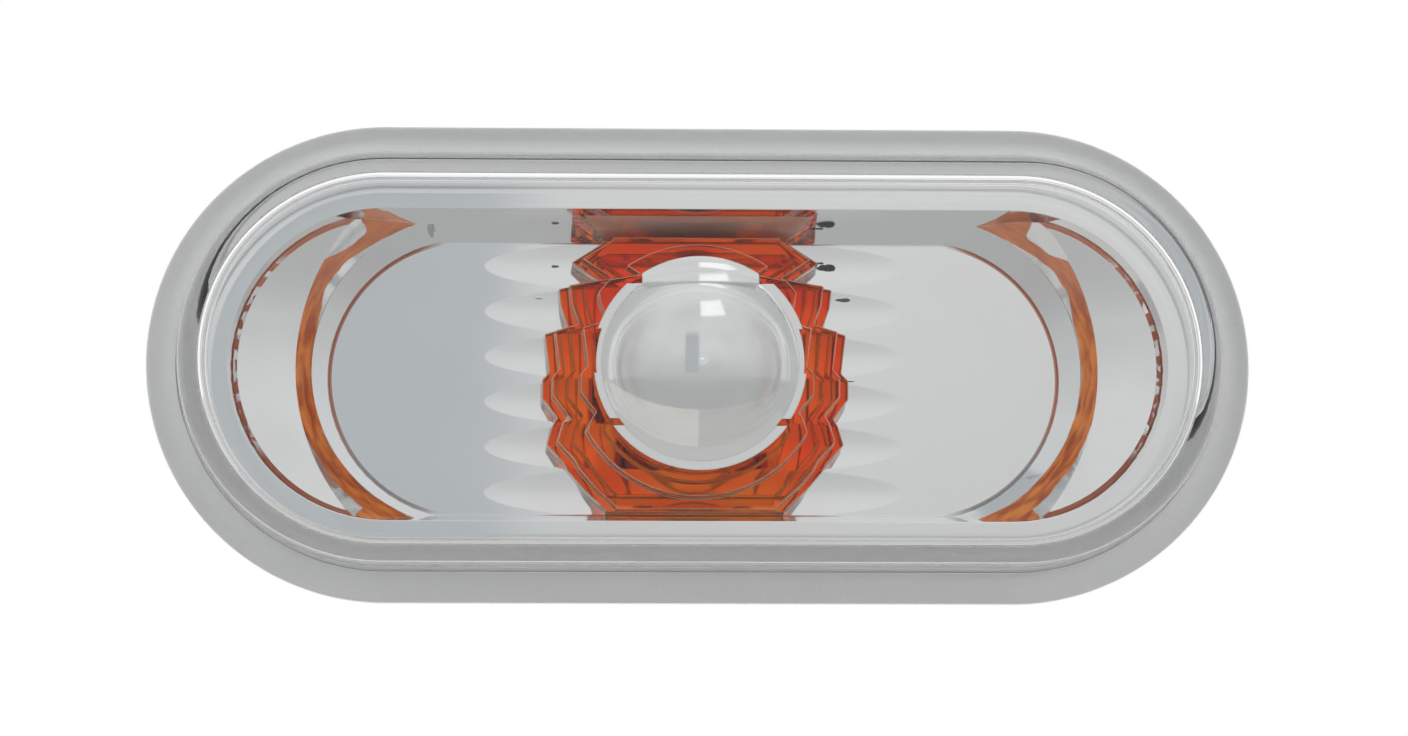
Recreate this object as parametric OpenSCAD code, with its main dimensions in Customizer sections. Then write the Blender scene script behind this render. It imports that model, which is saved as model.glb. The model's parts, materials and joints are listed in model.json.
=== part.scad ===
/* [Lens] */
// Length over the flange
lens_length = 92.5; // [88:0.5:104]
// Height over the flange
lens_height = 40; // [39:0.5:46]
// Flange from its edge to the foot of the raised front
flange_width = 2.8; // [2.4:0.1:3.4]
// Thickness of the flange
flange_thick = 2.8; // [2.5:0.1:3.4]
// Rounding of the flange's front edge
flange_edge_r = 1.2; // [0.6:0.1:1.8]
// Wall of the raised front
lens_wall = 2; // [1.6:0.1:2.4]
// Height of the front above the panel
lens_rise = 11; // [10.5:0.25:14]
// Radius of the crowned front
crown_r = 260; // [160:10:500]
// Rounding round the raised front
lens_edge_r = 2.8; // [2.2:0.1:4]
// How far the lens laps over the housing's rim
lens_lap = 1.3; // [1:0.1:1.5]

/* [Gasket] */
// Thickness of the foam ring behind the flange
gasket_thick = 1.5; // [1:0.1:2.5]
// How far the foam stands back from the flange's edge
gasket_inset = 0.3; // [0.2:0.1:0.8]

/* [Housing] */
// Wall of the rear shell
housing_wall = 1.8; // [1.4:0.1:2.2]
// Gap between the shell's floor and the reflector's back plate
floor_gap = 2; // [1:0.1:4]
// Rounding of the rear shell's back edge
housing_edge_r = 3; // [2:0.25:4]
// Depth of the band that guides the shell into the panel
guide_depth = 3.2; // [2.6:0.1:5]
// How far the shell steps in behind that band
guide_step = 0.8; // [0.4:0.1:1.2]
// Wall of the turret
turret_wall = 2; // [1.6:0.1:2.6]

/* [Fixing] */
// Gap between the gasket and the hook for the panel
panel_gap = 2.1; // [2.1:0.1:3.5]
// Width of the hook
hook_width = 10; // [6:0.5:14]
// Thickness of the hook
hook_thick = 2; // [1.5:0.1:3]
// Reach of the hook and the catch past the shell
catch_reach = 2; // [1.2:0.1:2.6]
// Width of the spring tongue
tongue_width = 8; // [6:0.5:11]
// Thickness of the spring tongue
tongue_thick = 1.4; // [1:0.1:2]
// Free travel of the spring tongue
tongue_travel = 2; // [1.4:0.1:2.6]
// Room beside the spring tongue
tongue_play = 2; // [1:0.1:3]
// Thickness of the tongue's catch
catch_thick = 0.7; // [0.5:0.1:1]
// Length of the slope below the catch
catch_slope = 3.9; // [3:0.1:5]

/* [Reflector] */
// Wall of the reflector
reflector_wall = 1.2; // [1:0.1:1.5]
// Silver band between the lens's inner wall and the window
rim_width = 2.1; // [1.6:0.1:3]
// How much the recess narrows on its way back
recess_draft = 1.4; // [0.8:0.1:2.2]
// Width of the crescent ledge at each end
ledge_width = 5.45; // [4:0.25:8]
// Depth of the ledges behind the rim, at the middle line
ledge_depth = 4.8; // [3.5:0.1:5.5]
// Radius of the dished ledges
ledge_r = 40; // [30:1:80]
// Width of the sloping edge between ledge and recess
flare_width = 1.3; // [0.8:0.1:2]
// Length of the fluted field on the back plate
flute_length = 36; // [28:1:44]
// Depth of the flutes
flute_depth = 0.2; // [0.1:0.05:0.4]

/* [Amber filter] */
// Width of the collar at its widest row
collar_width = 26.2; // [24:0.2:30]
// Set-back of the middle terrace
terrace_one = 0.85; // [0.5:0.05:1.2]
// Set-back of the front terrace
terrace_two = 3.2; // [2.6:0.1:3.8]
// Radius of the front terrace above and below the dome
bowl_r = 10.7; // [10.2:0.1:11.4]
// Length of the spigot behind the reflector
spigot_length = 1.2; // [0.8:0.1:2]
// Gap between that spigot and the bulb holder
spigot_gap = 1.4; // [0.8:0.1:2]
// Wall of the amber filter
filter_wall = 1.3; // [1:0.1:1.6]

/* [Dome shield] */
// Half width of the shield
dome_r = 8.5; // [8:0.1:9]
// Radius of its domed front
cap_r = 11.5; // [9.5:0.25:14]
// Height of its side wall
skirt_height = 5.9; // [4.5:0.1:7]
// Height of each step in the outline of its side wall
skirt_pitch = 3.75; // [3.4:0.05:4]
// Width of the lip round the domed front
lip_width = 0.25; // [0.1:0.05:0.5]
// Wall of the shield
dome_wall = 1.2; // [0.8:0.1:1.5]
// Gap between the shield and the lens
dome_gap = 0.8; // [0.4:0.1:1.5]
// Width of the boss at the top of the domed front
boss_width = 9.8; // [8:0.2:11]
// How far the boss stands out of the shield's outline
boss_rise = 0.35; // [0.1:0.05:0.6]
// Height of the boss
boss_height = 2.3; // [1.5:0.1:3]
// Radius of the boss's face
boss_face_r = 16; // [12:0.5:24]

/* [Bulb] */
// Gap between the dome and the tip of the bulb
bulb_gap = 2; // [1:0.1:3]
// Diameter of the glass
bulb_width = 10.1; // [9.5:0.1:10.5]
// Length of the bulb with its wedge base
bulb_length = 26.8; // [25:0.2:28]
// Length of the wedge base
wedge_length = 8; // [6.5:0.25:8.5]
// Width of the wedge base
wedge_width = 9.4; // [8.6:0.1:9.6]
// Thickness of the wedge base
wedge_thick = 2.1; // [1.8:0.1:2.6]
// Wall of the glass
glass_wall = 0.5; // [0.4:0.05:0.8]
// Thickness of the lead wires
lead_thick = 0.5; // [0.4:0.05:0.7]
// From the bulb's tip back to its filament
filament_drop = 9; // [8:0.25:10]

/* [Bulb holder] */
// Diameter of the holder's body
holder_width = 16.4; // [16:0.2:18]
// Diameter of the holder's flange
holder_flange = 22; // [21:0.5:26]
// Thickness of the holder's flange
holder_flange_thick = 1.8; // [1.4:0.1:2.6]
// How far the bulb's end stands out behind the turret
bulb_sink = 2.4; // [2:0.1:3.5]
// Thickness of the rubber ring once pressed
seal_thick = 1.5; // [1.2:0.1:2]
// Inner length of the plug socket
socket_length = 10.8; // [10:0.2:13]
// Inner height of the plug socket
socket_height = 5.8; // [5.4:0.1:7.5]
// Depth of the plug socket
socket_depth = 10; // [8:0.5:14]
// Wall of the plug socket
socket_wall = 1.5; // [1.2:0.1:2]
// Reach of the two ribs beside the plug socket
rib_reach = 2.6; // [1.5:0.1:3]
// Width of those ribs
rib_width = 2; // [1.5:0.1:3]
// Height of those ribs under the flange
rib_rise = 1.8; // [1:0.1:2.6]
// Width of the brass terminals
terminal_width = 2.8; // [2:0.1:3]
// Thickness of the brass terminals
terminal_thick = 0.8; // [0.5:0.05:0.9]
// Length of the terminals inside the plug socket
blade_length = 5.6; // [4:0.2:7]

/* [Hidden] */
$fn = 96;
over = 0.5;
slip = 0.15;
snug = 0.1;
hair = 0.03;

// Lens: half profile across the lamp, and the straight run between its two round ends
lens_half = lens_height / 2;
spine = (lens_length - lens_height) / 2;
front_half = lens_half - flange_width;
inner_half = front_half - lens_wall;
flange_top = gasket_thick + flange_thick;
rim_z = gasket_thick + lens_lap;
inner_top = lens_rise - lens_wall;
inner_edge_r = lens_edge_r - lens_wall > 0.4 ? lens_edge_r - lens_wall : 0.4;
lap_half = front_half - slip;

// Dome shield: how far each step of its skirt stands out of the dome, from the top down
cap_z = inner_top - dome_gap - cap_r;
cap_half = dome_r - lip_width;
lip_step = 0.12;
lip_z = cap_z + sqrt(pow(cap_r, 2) - pow(cap_half, 2)) - lip_step;
filter_top = lip_z - skirt_height;
skirt_out = [0.5, 0.2, 0.4, 0.5];
skirt_notch = 0.6;
boss_foot = dome_r + boss_rise - boss_height;
boss_proud = 0.12;
boss_lean = 22;
boss_y = boss_foot - boss_face_r * sin(boss_lean);
boss_z = cap_z + sqrt(pow(cap_r, 2) - pow(boss_foot, 2)) + boss_proud - boss_face_r * cos(boss_lean);
dome_spigot_r = dome_r - dome_wall;
dome_spigot_depth = 0.8;

// Bulb
bulb_r = bulb_width / 2;
bulb_tip = cap_z + cap_r - dome_wall - bulb_gap;
bulb_end = bulb_tip - bulb_length;
wedge_top = bulb_end + wedge_length;
pinch_z = wedge_top + 1.6;
hollow_z = pinch_z + 1.4;
lead_r = lead_thick / 2;
lead_x = terminal_width / 2 + 1.2;
lead_side = wedge_thick / 2 + hair + lead_r;
lead_end = bulb_end - hair - lead_r;
filament_z = bulb_tip - filament_drop;
filament_r = 0.2;
filament_rise = 0.8;

// Bulb holder and terminals
holder_r = holder_width / 2;
holder_top = wedge_top + 0.8;
turret_end = bulb_end + bulb_sink;
flange_z = turret_end - seal_thick;
chamber_z = bulb_end - 1;
web_thick = 2.8;
socket_z = chamber_z - web_thick;
mouth_z = socket_z - socket_depth;
contact_in = lead_side + lead_r + hair;
contact_out = contact_in + terminal_thick;
contact_top = wedge_top - 1;
blade_end = socket_z - blade_length;
lug_z = turret_end + 2.2;
lug_thick = 1.4;
lug_turn = 20;
lug_half_turn = 10;

// Reflector: its back plate stands clear of the holder by the spigot and its gap
window_half = inner_half - rim_width;
plate_half = window_half - recess_draft;
spigot_end = holder_top + spigot_gap;
plate_z = spigot_end + spigot_length + reflector_wall;
recess_depth = rim_z - plate_z;
recess_end = spine + window_half - ledge_width;
draft_slope = recess_draft / recess_depth;
flank_foot = 0.2;
flank_run = 2.8;
recess_spine = recess_end - plate_half - flank_run;
ledge_z = rim_z - ledge_depth;
edge_offset = recess_end - spine;
edge_z = ledge_height(edge_offset);
flare_up = rim_z - edge_z;
heel = 0.6;
heel_z = ledge_height(window_half - heel);
row_count = 6;
row_pitch = 2 * plate_half / row_count;
flute_r = 14;

// Housing
floor_z = plate_z - reflector_wall - floor_gap;
housing_depth = housing_wall - floor_z;
guide_half = lap_half - slip;
shell_half = guide_half - guide_step;
rest_lip = 0.3;
rim_half = inner_half + rest_lip;
rim_pocket = rim_half + snug;
ledge_half = rim_half - 0.6;
turret_length = -housing_depth - turret_end;
turret_bore = holder_r + 0.2;
turret_r = turret_bore + turret_wall;

// Bay of the spring tongue, clear of the reflector's end wall and of its ledge
bay_lining = 1.2;
bay_clear = 0.2;
arm_out = spine + guide_half + snug;
arm_top_gap = 0.4;
bay_x = arm_out - tongue_thick - tongue_travel;
bay_top = ledge_height(bay_x - housing_wall - spine) - reflector_wall - bay_clear - housing_wall;
catch_bay_x = spine + window_half + reflector_wall + slip + bay_lining;
catch_bay_top = -panel_gap + catch_thick;

// Amber filter: how far three points of each row stand back from the widest row, from the top down
collar_half = collar_width / 2;
collar_top = plate_half - snug;
row_setback = [[5.1, 2.5, 5], [1.4, 1.6, 2.2], [0.2, 0.4, 0.6],
    [0, 0, 1.3], [0.9, 0.4, 1.9], [2.2, 3.6, 5.4]];
row_place = [0.08, 0.5, 0.92];
terrace_rise = (filter_top - plate_z) / 3;
terrace_z = [plate_z + terrace_rise, plate_z + 2 * terrace_rise, filter_top];
terrace_inset = [0, terrace_one, terrace_two];
terrace_reach = [collar_width, collar_width, bowl_r];
filter_bore = bulb_r + 1.2;
spigot_r = filter_bore + filter_wall;
hole_r = spigot_r + snug;
dome_bore = filter_bore + slip;

// Height of the dished ledge at a distance from the lamp's spine
function ledge_height(x) = ledge_z + ledge_r - sqrt(pow(ledge_r, 2) - pow(x, 2));

// Carries a half profile round the outline of the lamp: two round ends and two straight runs
module oval_sweep(half_run) {
    for (end = [0, 1])
        mirror([end, 0, 0])
            translate([half_run, 0, 0])
                rotate([0, 0, -90])
                    rotate_extrude(angle = 180) children();
    for (side = [0, 1])
        mirror([0, side, 0])
            translate([-half_run, 0, 0])
                rotate([90, 0, 90])
                    linear_extrude(2 * half_run) children();
}

// Turns a piece drawn with its front up so that its front faces -Y
module facing_out() {
    rotate([90, 0, 0]) children();
}

// Cuts the far upper corner off a profile and leaves it round
module round_corner(x, z, r, up = 1) {
    difference() {
        children();
        translate([x - r, up > 0 ? z - r : z - over])
            difference() {
                square([r + over, r + over]);
                translate([0, up > 0 ? 0 : r + over]) circle(r);
            }
    }
}

// Half profile of the raised front: a shallow crown that rolls over into the side wall
module crowned_half(half_width, base, crown, crown_radius, edge_r) {
    edge_x = half_width - edge_r;
    ball_z = crown - crown_radius;
    corner_z = ball_z + sqrt(pow(crown_radius - edge_r, 2) - pow(edge_x, 2));
    lean = [edge_x, corner_z - ball_z] / (crown_radius - edge_r);
    difference() {
        intersection() {
            translate([0, base]) square([half_width, crown - base + over]);
            translate([0, ball_z]) circle(crown_radius, $fn = 720);
        }
        difference() {
            polygon([[edge_x, corner_z], [half_width + over, corner_z],
                [half_width + over, crown + over],
                [edge_x + lean[0] * (edge_r + over), corner_z + lean[1] * (edge_r + over)]]);
            translate([edge_x, corner_z]) circle(edge_r);
        }
    }
}

module outer_lens() {
    color("whitesmoke", 0.35) facing_out() oval_sweep(spine) difference() {
        union() {
            crowned_half(front_half, rim_z, lens_rise, crown_r, lens_edge_r);
            round_corner(lens_half, flange_top, flange_edge_r)
                translate([inner_half, gasket_thick])
                    square([lens_half - inner_half, flange_thick]);
        }
        crowned_half(inner_half, gasket_thick - over, inner_top, crown_r - lens_wall, inner_edge_r);
        translate([-over, gasket_thick - over]) square([lap_half + over, lens_lap + over]);
    }
}

module flange_gasket() {
    color("dimgray") facing_out() oval_sweep(spine)
        translate([lap_half + 0.25, 0])
            square([lens_half - gasket_inset - lap_half - 0.25, gasket_thick]);
}

// Space for the spring tongue at the lamp's left end, open to the back: deep behind its arm and
// shallow behind its catch
module tongue_bay(lined) {
    arm_wall = lined ? housing_wall : 0;
    catch_wall = lined ? bay_lining : 0;
    back = -housing_depth - 2 * over;
    tall = tongue_width + 2 * tongue_play;
    translate([-bay_x + arm_wall - lens_half, -tall / 2 - arm_wall, back])
        cube([lens_half, tall + 2 * arm_wall, bay_top + arm_wall - back]);
    translate([-catch_bay_x + catch_wall - lens_half, -tall / 2 - catch_wall, back])
        cube([lens_half, tall + 2 * catch_wall, catch_bay_top + catch_wall - back]);
}

module spring_tongue() {
    back = -housing_depth;
    arm_in = arm_out - tongue_thick;
    arm_top = bay_top - arm_top_gap;
    root_in = bay_x - 0.5 * housing_wall;
    tip = spine + guide_half + catch_reach;
    translate([0, tongue_width / 2, 0]) rotate([90, 0, 0]) linear_extrude(tongue_width)
        polygon([[-root_in, back], [-arm_out, back],
            [-arm_out, -panel_gap - catch_thick - catch_slope],
            [-tip, -panel_gap - catch_thick], [-tip, -panel_gap], [-arm_out, -panel_gap],
            [-arm_out, arm_top], [-arm_in, arm_top],
            [-arm_in, back + housing_wall], [-root_in, back + housing_wall]]);
}

// Fixed hook at the right end, with its underside swept back to the shell
module panel_hook() {
    root = spine + shell_half - 0.5 * housing_wall;
    tip = spine + guide_half + catch_reach;
    translate([0, hook_width / 2, 0]) rotate([90, 0, 0]) linear_extrude(hook_width)
        polygon([[root, -panel_gap], [tip, -panel_gap], [tip, -panel_gap - 0.6 * hook_thick],
            [tip - catch_reach, -panel_gap - 1.6 * hook_thick],
            [root, -panel_gap - 2.4 * hook_thick]]);
}

// Slots that the holder's two lugs enter and turn in
module lug_slots() {
    for (side = [0, 180]) rotate([0, 0, side]) {
        rotate_extrude(angle = lug_turn + 2 * lug_half_turn + 4, start = -lug_half_turn - 2)
            translate([turret_bore - over, lug_z - slip])
                square([turret_wall + 2 * over, lug_thick + 2 * slip]);
        rotate_extrude(angle = 2 * lug_half_turn + 4, start = lug_turn - lug_half_turn - 2)
            translate([turret_bore - over, turret_end - over])
                square([turret_wall + 2 * over, lug_z - turret_end + over]);
    }
}

module turret_gussets() {
    run = housing_edge_r + 2;
    for (side = [0, 180]) rotate([0, 0, side])
        translate([0, housing_wall / 2, 0]) rotate([90, 0, 0]) linear_extrude(housing_wall)
            polygon([[turret_r - 0.5 * turret_wall, -housing_depth + over],
                [turret_r + run, -housing_depth + over],
                [turret_r + run, -housing_depth],
                [turret_r - 0.5 * turret_wall, turret_end + lug_thick + 2.6]]);
}

module housing() {
    color("gray") facing_out() difference() {
        union() {
            oval_sweep(spine) {
                translate([0, -guide_depth]) square([guide_half, guide_depth + rim_z]);
                round_corner(shell_half, -housing_depth, housing_edge_r, up = -1)
                    translate([0, -housing_depth]) square([shell_half, housing_depth]);
            }
            translate([0, 0, turret_end]) cylinder(r = turret_r, h = turret_length + over);
            turret_gussets();
            panel_hook();
        }
        oval_sweep(spine) translate([0, rim_z - reflector_wall])
            square([rim_pocket, reflector_wall + over]);
        difference() {
            oval_sweep(spine) {
                translate([0, -guide_depth + housing_wall])
                    square([ledge_half, guide_depth + rim_z - housing_wall]);
                round_corner(shell_half - housing_wall, floor_z, housing_edge_r - 1, up = -1)
                    translate([0, floor_z])
                        square([shell_half - housing_wall, rim_z - floor_z]);
            }
            tongue_bay(lined = true);
        }
        tongue_bay(lined = false);
        translate([0, 0, turret_end - over])
            cylinder(r = turret_bore, h = turret_length + housing_wall + 2 * over);
        lug_slots();
    }
    color("gray") facing_out() spring_tongue();
}

// Inside of the reflector, grown by g for its outside
module recess_space(g) {
    oval_sweep(recess_spine)
        polygon([[0, plate_z - g], [plate_half + flank_foot + g, plate_z - g],
            [plate_half + flank_run - flare_width + g, edge_z - flare_width],
            [plate_half + flank_run + flare_up + g, rim_z], [0, rim_z]]);
}

module ledge_space(g) {
    reach = window_half + over + g;
    oval_sweep(spine) intersection() {
        translate([0, ledge_z + ledge_r]) circle(ledge_r + g, $fn = 360);
        polygon([[0, ledge_z - g - over], [window_half - heel + g, ledge_z - g - over],
            [window_half - heel + g, heel_z - g], [reach, heel_z + heel + over - g],
            [reach, rim_z + 2], [0, rim_z + 2]]);
    }
}

module reflector_space(g) {
    lift = g > 0 ? 0 : 1;
    intersection() {
        oval_sweep(spine)
            polygon([[0, plate_z - g - over], [plate_half + g - over * draft_slope, plate_z - g - over],
                [window_half + g + lift * draft_slope, rim_z + lift], [0, rim_z + lift]]);
        union() {
            recess_space(g);
            ledge_space(g);
        }
    }
}

// Shallow hollow flutes that fade out along the back plate and end at the walls beside it
module flutes() {
    sweep_r = (pow(flute_length / 2, 2) + pow(flute_depth, 2)) / (2 * flute_depth);
    half_turn = asin((flute_length / 2 + 2) / sweep_r);
    intersection() {
        translate([-recess_end, -plate_half, plate_z - reflector_wall])
            cube([2 * recess_end, 2 * plate_half, reflector_wall + over]);
        for (row = [0 : row_count - 1])
            translate([0, plate_half - (row + 0.5) * row_pitch, plate_z - flute_depth + sweep_r])
                rotate([90, 0, 0])
                    rotate_extrude(angle = 2 * half_turn, start = -90 - half_turn, $fn = 1440)
                        translate([sweep_r - flute_r, 0]) circle(flute_r, $fn = 96);
    }
}

module reflector() {
    color("silver") facing_out() difference() {
        union() {
            reflector_space(reflector_wall);
            oval_sweep(spine) translate([window_half, rim_z - reflector_wall])
                square([rim_half - window_half, reflector_wall]);
        }
        reflector_space(0);
        flutes();
        translate([0, 0, plate_z - reflector_wall - over])
            cylinder(r = hole_r, h = reflector_wall + 2 * over);
    }
}

// Right-hand edge of the collar from top to bottom, one scallop to each row
function collar_edge(inset) = [for (row = [0 : row_count - 1]) for (k = [0 : 2])
    [collar_half - row_setback[row][k] - inset, plate_half - (row + row_place[k]) * row_pitch]];

module collar_outline(step, wall = 0) {
    edge = collar_edge(terrace_inset[step] + wall);
    last = len(edge) - 1;
    tall = collar_top - wall;
    intersection() {
        circle(terrace_reach[step] - wall);
        translate([-collar_half, -tall]) square([2 * collar_half, 2 * tall]);
        for (side = [0, 1]) mirror([side, 0])
            polygon(concat([[0, plate_half], [edge[0][0], plate_half]], edge,
                [[edge[last][0], -plate_half], [0, -plate_half]]));
    }
}

module amber_filter() {
    color("orangered") facing_out() difference() {
        union() {
            for (step = [0 : 2])
                translate([0, 0, plate_z]) linear_extrude(terrace_z[step] - plate_z)
                    collar_outline(step);
            translate([0, 0, spigot_end]) cylinder(r = spigot_r, h = plate_z - spigot_end + over);
        }
        difference() {
            for (step = [0 : 2])
                translate([0, 0, plate_z - over])
                    linear_extrude(terrace_z[step] - plate_z - filter_wall + over)
                        collar_outline(step, filter_wall);
            translate([0, 0, plate_z - 2 * over]) cylinder(r = spigot_r, h = recess_depth);
        }
        translate([0, 0, spigot_end - over]) cylinder(r = filter_bore, h = recess_depth + 2 * over);
        translate([0, 0, filter_top - dome_spigot_depth - hair])
            cylinder(r = dome_spigot_r + snug, h = recess_depth);
    }
}

// Stepped outline below the boss, with a notch above the lowest step
module skirt_outline() {
    last = len(skirt_out) - 1;
    for (row = [0 : last]) {
        out = dome_r + skirt_out[row];
        high = boss_foot - row * skirt_pitch + (row == last ? -skirt_notch : hair);
        low = row == last ? -out : boss_foot - (row + 1) * skirt_pitch;
        intersection() {
            circle(out);
            translate([-out, low]) square([2 * out, high - low]);
        }
    }
}

// Raised segment at the top of the domed front, flat along its lower edge
module shield_boss() {
    intersection() {
        translate([0, 0, filter_top]) linear_extrude(cap_z + cap_r - filter_top) intersection() {
            circle(dome_r + boss_rise);
            translate([-boss_width / 2, boss_foot]) square([boss_width, boss_height]);
        }
        translate([0, boss_y, boss_z]) sphere(boss_face_r);
    }
}

module dome_shield() {
    color("silver") facing_out() difference() {
        union() {
            intersection() {
                translate([0, 0, cap_z]) sphere(cap_r);
                translate([0, 0, filter_top]) cylinder(r = cap_half, h = skirt_height + cap_r);
            }
            translate([0, 0, filter_top]) linear_extrude(skirt_height) skirt_outline();
            shield_boss();
            translate([0, 0, filter_top - dome_spigot_depth])
                cylinder(r = dome_spigot_r, h = dome_spigot_depth + over);
        }
        intersection() {
            translate([0, 0, cap_z]) sphere(cap_r - dome_wall);
            translate([0, 0, filter_top + dome_wall])
                cylinder(r = dome_r - dome_wall, h = skirt_height + cap_r);
        }
        translate([0, 0, filter_top - dome_spigot_depth - over])
            cylinder(r = dome_bore, h = dome_wall + dome_spigot_depth + 2 * over);
    }
}

module bulb_glass() {
    color("aliceblue", 0.4) facing_out() difference() {
        union() {
            rotate_extrude() {
                translate([0, pinch_z]) square([bulb_r, bulb_tip - bulb_r - pinch_z]);
                intersection() {
                    translate([0, bulb_tip - bulb_r]) circle(bulb_r);
                    translate([0, pinch_z]) square([bulb_r, bulb_length]);
                }
                polygon([[0, wedge_top], [bulb_r - 0.6, wedge_top], [bulb_r, pinch_z], [0, pinch_z]]);
            }
            translate([-wedge_width / 2, -wedge_thick / 2, bulb_end])
                cube([wedge_width, wedge_thick, wedge_length + over]);
        }
        rotate_extrude() {
            translate([0, hollow_z]) square([bulb_r - glass_wall, bulb_tip - bulb_r - hollow_z]);
            intersection() {
                translate([0, bulb_tip - bulb_r]) circle(bulb_r - glass_wall);
                translate([0, hollow_z]) square([bulb_r, bulb_length]);
            }
        }
        for (x = [-lead_x, lead_x])
            translate([x, 0, bulb_end - over])
                cylinder(r = lead_r + hair, h = hollow_z - bulb_end + 2 * over);
    }
}

module bulb_filament() {
    arc_r = (pow(lead_x, 2) + pow(filament_rise, 2)) / (2 * filament_rise);
    half_turn = asin((lead_x - lead_r) / arc_r);
    color("darkgray") facing_out() translate([0, 0, filament_z + filament_rise - arc_r])
        rotate([90, 0, 0]) rotate_extrude(angle = 2 * half_turn, start = 90 - half_turn, $fn = 360)
            translate([arc_r, 0]) circle(filament_r, $fn = 24);
}

// A lead wire: up through the glass to the filament, and folded back along the wedge
module bulb_lead(side) {
    color("lightgray") facing_out() translate([side * lead_x, 0, 0]) {
        translate([0, 0, lead_end]) cylinder(r = lead_r, h = filament_z + lead_r - lead_end, $fn = 24);
        translate([0, 0, lead_end]) rotate([side * 90, 0, 0])
            cylinder(r = lead_r, h = lead_side, $fn = 24);
        for (z = [0, 1]) translate([0, -side * z * lead_side, lead_end]) sphere(lead_r, $fn = 24);
        translate([0, -side * lead_side, lead_end])
            cylinder(r = lead_r, h = 0.6 * wedge_length, $fn = 24);
    }
}

module bulb_lead_left() {
    bulb_lead(-1);
}

module bulb_lead_right() {
    bulb_lead(1);
}

// Side view of a terminal: a contact beside the wedge that bends to the middle of the plug socket
module terminal_outline(grow) {
    half = terminal_thick / 2 + grow;
    bend_z = chamber_z - 0.3;
    blade_z = socket_z + 0.5;
    polygon([[contact_in - grow, contact_top], [contact_out + grow, contact_top],
        [contact_out + grow, bend_z], [half, blade_z - grow], [half, blade_end],
        [-half, blade_end], [-half, blade_z], [contact_in - grow, bend_z + grow]]);
}

module terminal(side, grow = 0) {
    wide = terminal_width + 2 * grow;
    translate([side * lead_x - wide / 2, 0, 0]) rotate([90, 0, 90]) linear_extrude(wide)
        mirror([side > 0 ? 1 : 0, 0]) terminal_outline(grow);
}

module terminal_left() {
    color("goldenrod") facing_out() terminal(-1);
}

module terminal_right() {
    color("goldenrod") facing_out() terminal(1);
}

module holder_seal() {
    ring_r = turret_bore + turret_wall / 2;
    color("black") facing_out() rotate_extrude() translate([ring_r, turret_end - seal_thick / 2])
        intersection() {
            circle(0.6 * seal_thick);
            square([2 * seal_thick, seal_thick], center = true);
        }
}

module bulb_holder() {
    wall = socket_wall;
    slot_x = lead_x + terminal_width / 2 + slip;
    color("dimgray") facing_out() difference() {
        union() {
            translate([0, 0, flange_z - holder_flange_thick])
                cylinder(r = holder_r, h = holder_top - flange_z + holder_flange_thick);
            translate([0, 0, flange_z - holder_flange_thick])
                cylinder(d = holder_flange, h = holder_flange_thick);
            translate([-socket_length / 2 - wall, -socket_height / 2 - wall, mouth_z])
                cube([socket_length + 2 * wall, socket_height + 2 * wall, flange_z - mouth_z - over]);
            for (side = [0, 180]) rotate([0, 0, side])
                rotate_extrude(angle = 2 * lug_half_turn, start = -lug_half_turn)
                    translate([holder_r - over, lug_z]) square([over + turret_wall - 0.4, lug_thick]);
            translate([-wall / 2, socket_height / 2 + wall - over, mouth_z + 2])
                cube([wall, 1.2 + over, 0.5 * socket_depth]);
            for (side = [0, 1]) mirror([side, 0, 0])
                translate([socket_length / 2 + wall - over, -rib_width / 2,
                    flange_z - holder_flange_thick - rib_rise])
                    cube([rib_reach + over, rib_width, rib_rise + over]);
        }
        translate([-wedge_width / 2 - slip, -wedge_thick / 2 - slip, chamber_z])
            cube([wedge_width + 2 * slip, wedge_thick + 2 * slip, holder_top - chamber_z + over]);
        translate([-slot_x, -contact_out - slip, chamber_z])
            cube([2 * slot_x, 2 * (contact_out + slip), holder_top - chamber_z + over]);
        translate([0, 0, wedge_top - 0.1]) cylinder(r = bulb_r + 0.2, h = holder_top - wedge_top + over);
        for (side = [-1, 1]) terminal(side, 0.05);
        translate([-socket_length / 2, -socket_height / 2, mouth_z - over])
            cube([socket_length, socket_height, socket_depth + over]);
    }
}

outer_lens();
flange_gasket();
housing();
reflector();
amber_filter();
dome_shield();
bulb_glass();
bulb_filament();
bulb_lead_left();
bulb_lead_right();
bulb_holder();
holder_seal();
terminal_left();
terminal_right();
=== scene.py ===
"""Dresses the side repeater lamp: a finish for every piece, a small white studio and the photo's view."""

import math

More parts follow.
